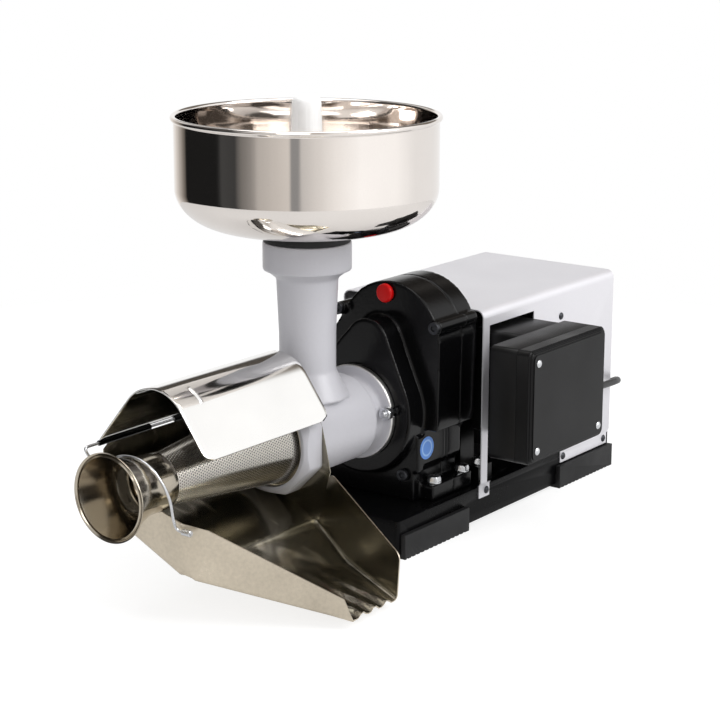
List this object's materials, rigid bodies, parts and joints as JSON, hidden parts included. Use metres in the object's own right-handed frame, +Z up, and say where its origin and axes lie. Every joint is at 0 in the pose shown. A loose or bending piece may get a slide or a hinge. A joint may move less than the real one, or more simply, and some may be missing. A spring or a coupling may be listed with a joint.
{
  "type": "electric tomato press",
  "caption": "Electric tomato press: steel hopper over a grey cast barrel, perforated cone with waste outlet, drip tray and guard, black geared motor under a stainless cover.",
  "frame": {"origin": "middle of the machine in X and Y, on the surface it stands on, cord left out", "axes": "+X from the waste outlet to the motor, +Y away from the switch box, +Z up"},
  "size_m": [0.8982, 0.3956, 0.4739],
  "materials": {
    "black_paint": "gloss black machine enamel",
    "frame_paint": "satin black powder coat",
    "grey_paint": "light grey food-safe enamel over cast metal",
    "stainless": "fine brushed stainless sheet",
    "polished_stainless": "polished stainless sheet",
    "zinc_steel": "bright zinc plated steel",
    "machined_steel": "ground and machined steel",
    "gear_steel": "oiled cut gear steel",
    "dark_steel": "black oxide steel",
    "winding": "varnished winding and laminations",
    "rubber": "moulded black rubber",
    "black_plastic": "fine grained black plastic",
    "white_plastic": "white food-grade plastic",
    "red_plastic": "red plastic",
    "grey_plastic": "light grey plastic can",
    "blue_film": "plain blue disc"
  },
  "bodies": {
    "frame": {"base_frame": "frame_paint", "front_feet": "rubber", "rear_feet": "rubber", "foot_bolts": "zinc_steel", "motor_cover": "stainless", "cover_screws": "dark_steel", "press_body": "grey_paint", "shaft_seal": "rubber", "head_studs": "zinc_steel", "head_nuts": "zinc_steel", "hopper_seal": "rubber", "strainer_cone": "polished_stainless", "waste_funnel": "polished_stainless", "output_bearings": "machined_steel", "gearbox_housing": "black_paint", "gearbox_rear_cover": "black_paint", "oil_plug": "red_plastic", "tie_bolts": "dark_steel", "idler_bearings": "machined_steel", "gear_sticker": "blue_film", "motor_front_shield": "black_paint", "motor_body": "black_paint", "motor_stator": "winding", "motor_bearings": "machined_steel", "motor_rear_shield": "black_paint", "fan_cowl": "frame_paint", "guard_wire": "zinc_steel", "drip_tray": "stainless", "box_mount": "black_plastic", "switch_box": "black_plastic", "box_lid": "black_plastic", "lid_screws": "zinc_steel", "capacitor": "grey_plastic", "switch_bezel": "black_plastic", "cord_gland": "black_plastic", "power_cord": "rubber", "cord_coil": "rubber", "cord_tail": "rubber", "plug": "rubber"},
    "screw": {"feed_screw": "white_plastic", "output_shaft": "machined_steel", "output_gear": "gear_steel"},
    "idler": {"idler_shaft": "gear_steel", "idler_gear": "gear_steel"},
    "rotor": {"motor_rotor": "machined_steel", "motor_pinion": "gear_steel", "motor_fan": "black_plastic"},
    "hopper_body": {"hopper": "polished_stainless"},
    "pusher_body": {"pusher": "white_plastic"},
    "guard": {"splash_guard": "polished_stainless"},
    "bail": {"tray_bail": "zinc_steel"},
    "rocker": {"switch_rocker": "red_plastic"},
    "nut": {"ring_nut": "grey_paint"}
  },
  "joints": [
    {"name": "screw_spin", "type": "hinge", "parent": "frame", "child": "screw", "pos_m": [-0.0834, 0.0278, 0.1343], "axis": [1, 0, 0], "continuous": true},
    {"name": "idler_spin", "type": "hinge", "parent": "frame", "child": "idler", "pos_m": [0.0646, 0.00503, 0.20786], "axis": [1, 0, 0], "continuous": true},
    {"name": "rotor_spin", "type": "hinge", "parent": "frame", "child": "rotor", "pos_m": [0.1866, 0.0278, 0.1343], "axis": [1, 0, 0], "continuous": true},
    {"name": "hopper_lift", "type": "slide", "parent": "frame", "child": "hopper_body", "axis": [0, 0, 1], "range_m": [0, 0.06]},
    {"name": "pusher_lift", "type": "slide", "parent": "frame", "child": "pusher_body", "axis": [0, 0, 1], "range_m": [0, 0.2]},
    {"name": "guard_tilt", "type": "hinge", "parent": "frame", "child": "guard", "pos_m": [-0.2214, 0.0933, 0.1618], "axis": [-1, 0, 0], "range_deg": [0, 95]},
    {"name": "bail_swing", "type": "hinge", "parent": "frame", "child": "bail", "pos_m": [-0.3239, 0.0278, 0.0958], "axis": [0, 1, 0], "range_deg": [0, 30]},
    {"name": "switch_rock", "type": "hinge", "parent": "frame", "child": "rocker", "pos_m": [0.1926, -0.1259, 0.173], "axis": [0, 1, 0], "range_deg": [-16, 0]},
    {"name": "nut_turn", "type": "hinge", "parent": "frame", "child": "nut", "pos_m": [-0.1394, 0.0278, 0.1343], "axis": [1, 0, 0], "continuous": true}
  ],
  "couplings": [
    {"joint": "idler_spin", "follows": "screw_spin", "ratio": -3.5294},
    {"joint": "rotor_spin", "follows": "screw_spin", "ratio": 10.059}
  ]
}
